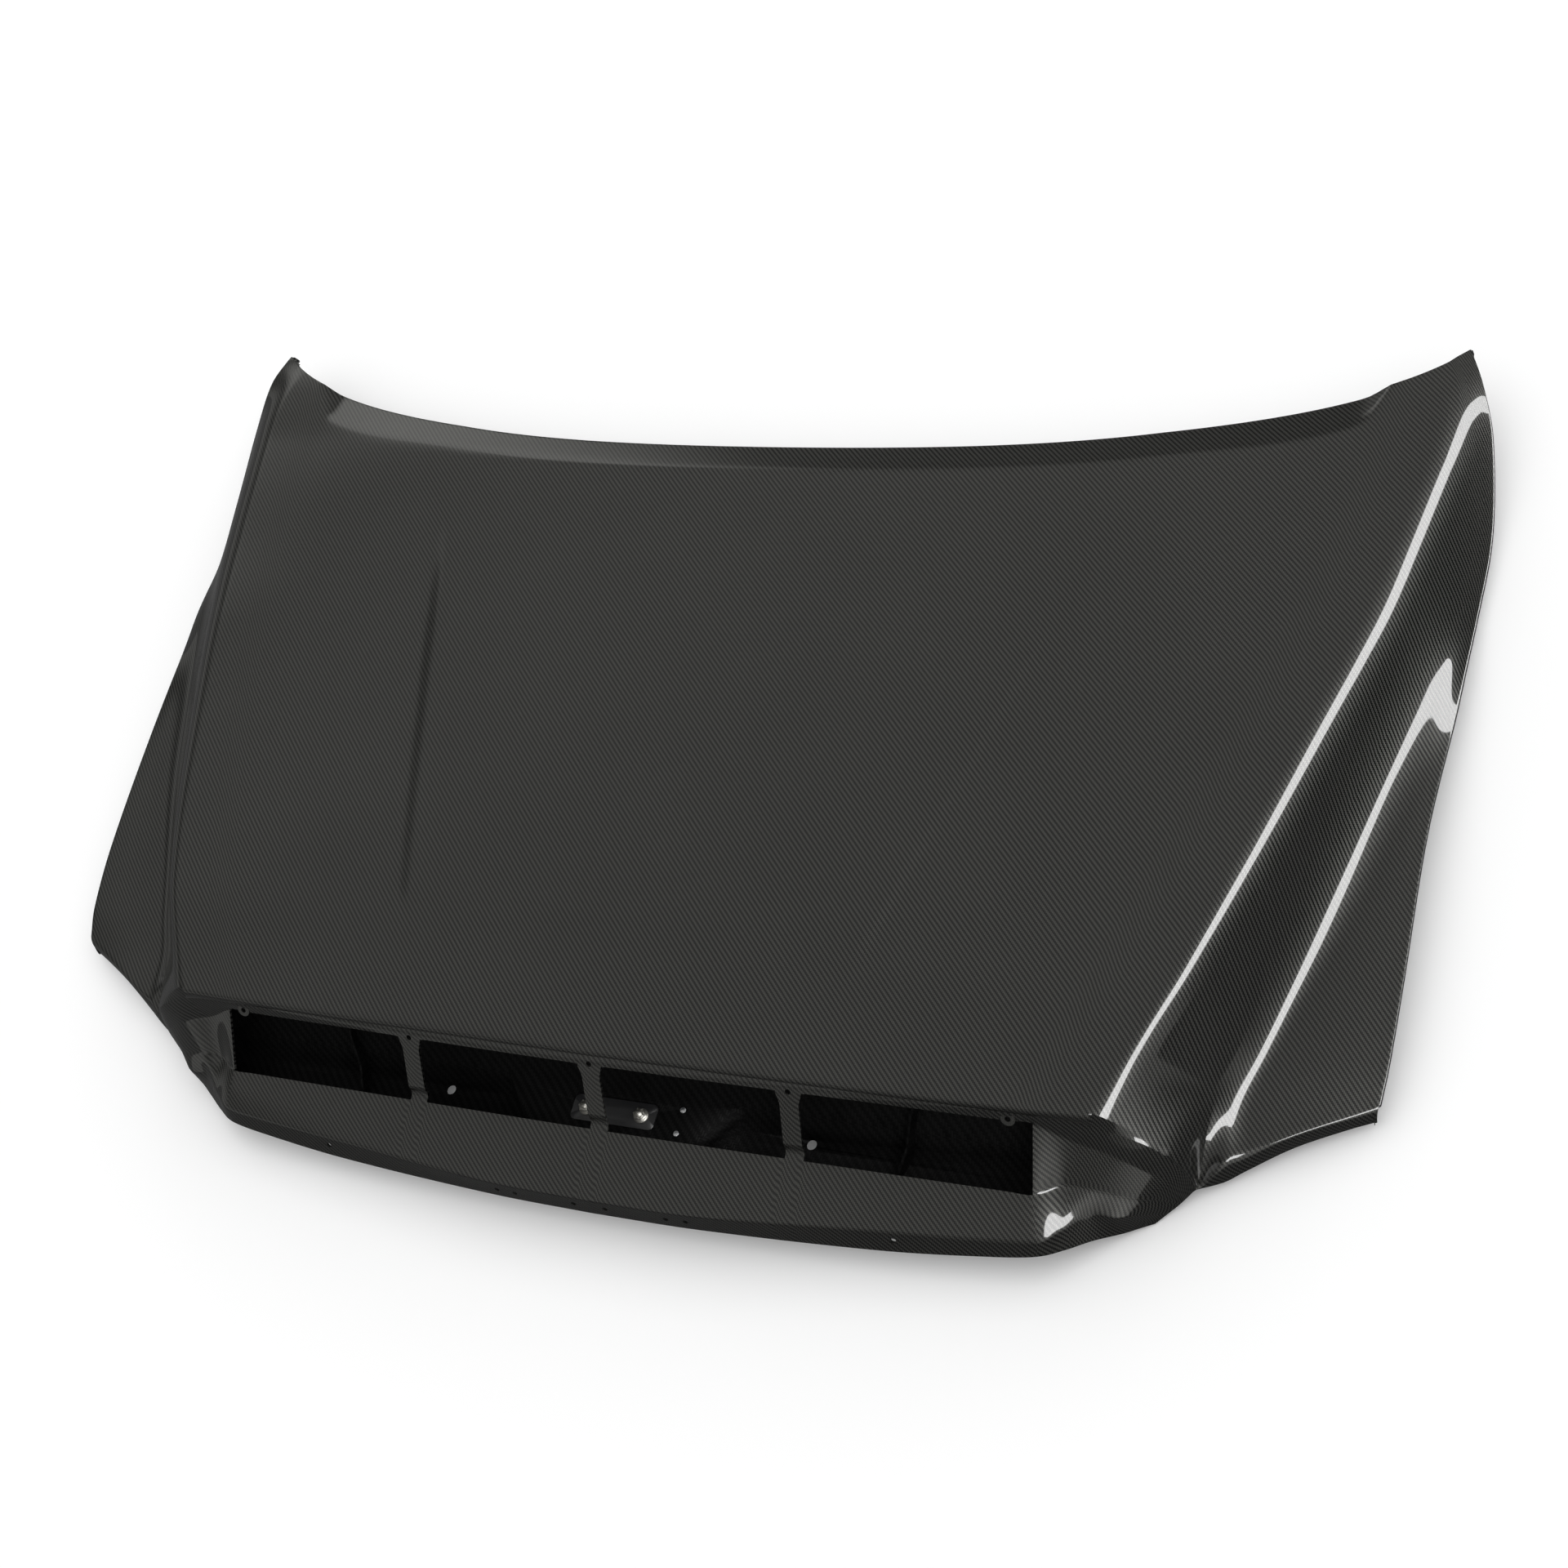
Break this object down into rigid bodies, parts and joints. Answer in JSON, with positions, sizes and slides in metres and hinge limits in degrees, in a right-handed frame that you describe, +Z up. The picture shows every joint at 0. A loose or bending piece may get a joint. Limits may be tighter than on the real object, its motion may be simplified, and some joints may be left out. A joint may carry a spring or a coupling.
{
  "type": "vehicle bonnet",
  "caption": "Carbon-fibre bonnet for a pickup truck with an open grille nose, raised centre field, swept wings, inner frame, hinge plates, striker and sprung safety catch.",
  "frame": {"origin": "centre of the bounding box in x and y, on the floor that the bonnet rests on", "axes": "+X to the bonnet's side that is on the right when seen from the front, +Y from the nose to the windscreen edge, +Z up; the bonnet lies on the toes of its nose and on its side edges, nose raised by 4.12 degrees"},
  "size_m": [1.7114, 1.1125, 0.1471],
  "materials": {
    "carbon_skin": "gloss clear-coated 2x2 twill carbon laminate",
    "carbon_nose": "gloss clear-coated 2x2 twill carbon laminate",
    "inner_laminate": "semi-matt bagged carbon laminate",
    "adhesive": "matt structural adhesive",
    "coated_steel": "black electrocoat, satin",
    "zinc_steel": "bright zinc plate",
    "rivet_metal": "satin",
    "spring_steel": "oiled spring wire"
  },
  "bodies": {
    "bonnet": {"outer_skin": "carbon_skin", "skin_rear_band": "carbon_skin", "skin_side_left": "carbon_skin", "skin_side_right": "carbon_skin", "nose_panel": "carbon_nose", "seam_strip": "inner_laminate", "inner_frame_front": "inner_laminate", "inner_frame_rear": "inner_laminate", "frame_rail_left": "inner_laminate", "frame_rail_right": "inner_laminate", "frame_brace_left": "inner_laminate", "frame_brace_right": "inner_laminate", "frame_bond_beads": "adhesive", "inner_nose_panel": "inner_laminate", "nose_bond_bead": "adhesive", "nose_rib_left": "inner_laminate", "nose_rib_right": "inner_laminate", "hinge_plate_left": "coated_steel", "hinge_plate_right": "coated_steel", "hinge_weld_nuts": "zinc_steel", "hinge_rivets": "rivet_metal", "latch_plate": "coated_steel", "striker_base": "coated_steel", "striker_loop": "zinc_steel", "striker_bolts": "zinc_steel", "striker_nuts": "zinc_steel", "catch_bracket": "coated_steel", "catch_rivets": "rivet_metal", "catch_pin": "zinc_steel", "catch_spring": "spring_steel"},
    "catch": {"catch_hook": "zinc_steel"}
  },
  "joints": [
    {"name": "catch_pivot", "type": "hinge", "parent": "bonnet", "child": "catch", "pos_m": [0.083, -0.44446, 0.02684], "axis": [1, 0, 0], "range_deg": [-22, 0], "stiffness_Nm_per_rad": 0.12, "springref_deg": 20.05, "deforming": ["catch_spring"]}
  ]
}
